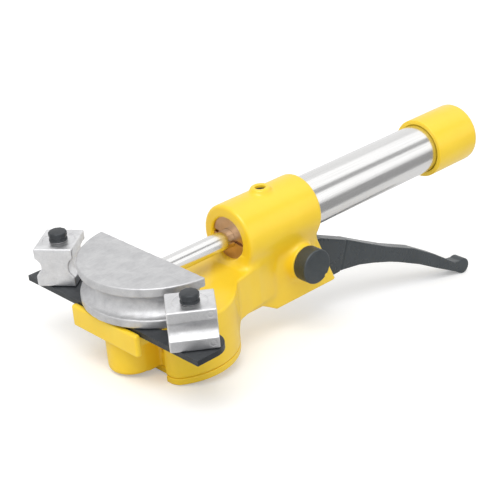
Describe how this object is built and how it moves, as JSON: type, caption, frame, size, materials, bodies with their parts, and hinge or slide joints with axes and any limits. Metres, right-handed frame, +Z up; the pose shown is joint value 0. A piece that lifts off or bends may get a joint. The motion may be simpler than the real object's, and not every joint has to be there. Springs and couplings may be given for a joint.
{
  "type": "manual tube bender",
  "caption": "Hand-held ratchet tube bender: half-round former on a push rod, swivelling side formers on a crossbar, long barrel handle and squeeze lever.",
  "frame": {"origin": "on the floor under the middle of the tool, which stands on the front edge of its foot and the tip of its lever", "axes": "+X from the former back to the handle, +Y to the side away from the release knob, +Z up; the push rod lies in the XZ plane and rises 10.5 degrees towards +X"},
  "size_m": [0.5058, 0.239, 0.1905],
  "materials": {
    "yellow_paint": "gloss",
    "polished_steel": "polished",
    "cast_aluminium": "as cast",
    "black_oxide": "black oxide",
    "lever_enamel": "satin",
    "bright_steel": "ground",
    "spring_steel": "satin",
    "bronze": "turned",
    "black_rubber": "matte"
  },
  "bodies": {
    "frame": {"body_casting": "yellow_paint", "foot_plate": "yellow_paint", "foot_plate_screws": "black_oxide", "barrel_tube": "polished_steel", "barrel_grub_screw": "black_oxide", "end_cap": "yellow_paint", "front_bush": "bronze", "rod_wiper": "black_rubber", "brake_pad": "bronze", "brake_spring": "spring_steel", "brake_screw": "black_oxide", "crossbar": "black_oxide", "crossbar_screws": "bright_steel", "crossbar_dowels": "bright_steel", "lever_pin": "bright_steel", "lever_pin_circlips": "black_oxide", "lever_spring": "spring_steel", "hold_pawl_pin": "bright_steel", "hold_pawl_spring": "spring_steel"},
    "rod": {"push_rod": "polished_steel", "former_retaining_ring": "black_rubber", "rod_guide_ring": "bronze", "rod_end_nut": "black_oxide", "bending_former": "cast_aluminium"},
    "side_former_left": {"side_former_left": "cast_aluminium"},
    "side_former_right": {"side_former_right": "cast_aluminium"},
    "pin_left": {"pin_left": "black_oxide", "pin_ring_left": "black_rubber"},
    "pin_right": {"pin_right": "black_oxide", "pin_ring_right": "black_rubber"},
    "lever": {"lever": "lever_enamel", "feed_pawl_pin": "bright_steel", "feed_pawl_spring": "spring_steel"},
    "feed_pawl": {"feed_pawl": "black_oxide"},
    "hold_pawl": {"hold_pawl": "black_oxide"},
    "knob": {"release_knob": "lever_enamel", "cam_shaft": "bright_steel", "knob_grub_screw": "black_oxide", "cam_shaft_circlip": "black_oxide"}
  },
  "joints": [
    {"name": "rod_slide", "type": "slide", "parent": "frame", "child": "rod", "axis": [0.9833, 0, 0.1819], "range_m": [0, 0.072]},
    {"name": "lever_squeeze", "type": "hinge", "parent": "frame", "child": "lever", "pos_m": [-0.0018, 0, 0.05855], "axis": [0, -1, 0], "range_deg": [0, 25], "stiffness_Nm_per_rad": 4, "springref_deg": -85.94, "deforming": ["lever_spring"]},
    {"name": "feed_pawl_swing", "type": "hinge", "parent": "lever", "child": "feed_pawl", "pos_m": [-0.00018, 0, 0.10453], "axis": [0, -1, 0], "range_deg": [0, 6], "stiffness_Nm_per_rad": 0.3, "springref_deg": -20.05, "deforming": ["feed_pawl_spring"]},
    {"name": "release_knob_turn", "type": "hinge", "parent": "frame", "child": "knob", "pos_m": [-0.02773, 0, 0.07562], "axis": [0, -1, 0], "range_deg": [-70, 0]},
    {"name": "hold_pawl_swing", "type": "hinge", "parent": "frame", "child": "hold_pawl", "pos_m": [-0.05347, 0, 0.09598], "axis": [0, -1, 0], "range_deg": [-7, 0], "deforming": ["hold_pawl_spring"]},
    {"name": "side_former_left_turn", "type": "hinge", "parent": "frame", "child": "side_former_left", "pos_m": [-0.21904, 0.09183, 0.08142], "axis": [-0.1819, 0, 0.9833], "continuous": true},
    {"name": "side_former_right_turn", "type": "hinge", "parent": "frame", "child": "side_former_right", "pos_m": [-0.21904, -0.09183, 0.08142], "axis": [-0.1819, 0, 0.9833], "continuous": true},
    {"name": "pin_left_pull", "type": "slide", "parent": "frame", "child": "pin_left", "axis": [-0.1819, 0, 0.9833], "range_m": [0, 0.06]},
    {"name": "pin_right_pull", "type": "slide", "parent": "frame", "child": "pin_right", "axis": [-0.1819, 0, 0.9833], "range_m": [0, 0.06]}
  ],
  "couplings": [
    {"joint": "hold_pawl_swing", "follows": "release_knob_turn", "ratio": 0.1}
  ]
}
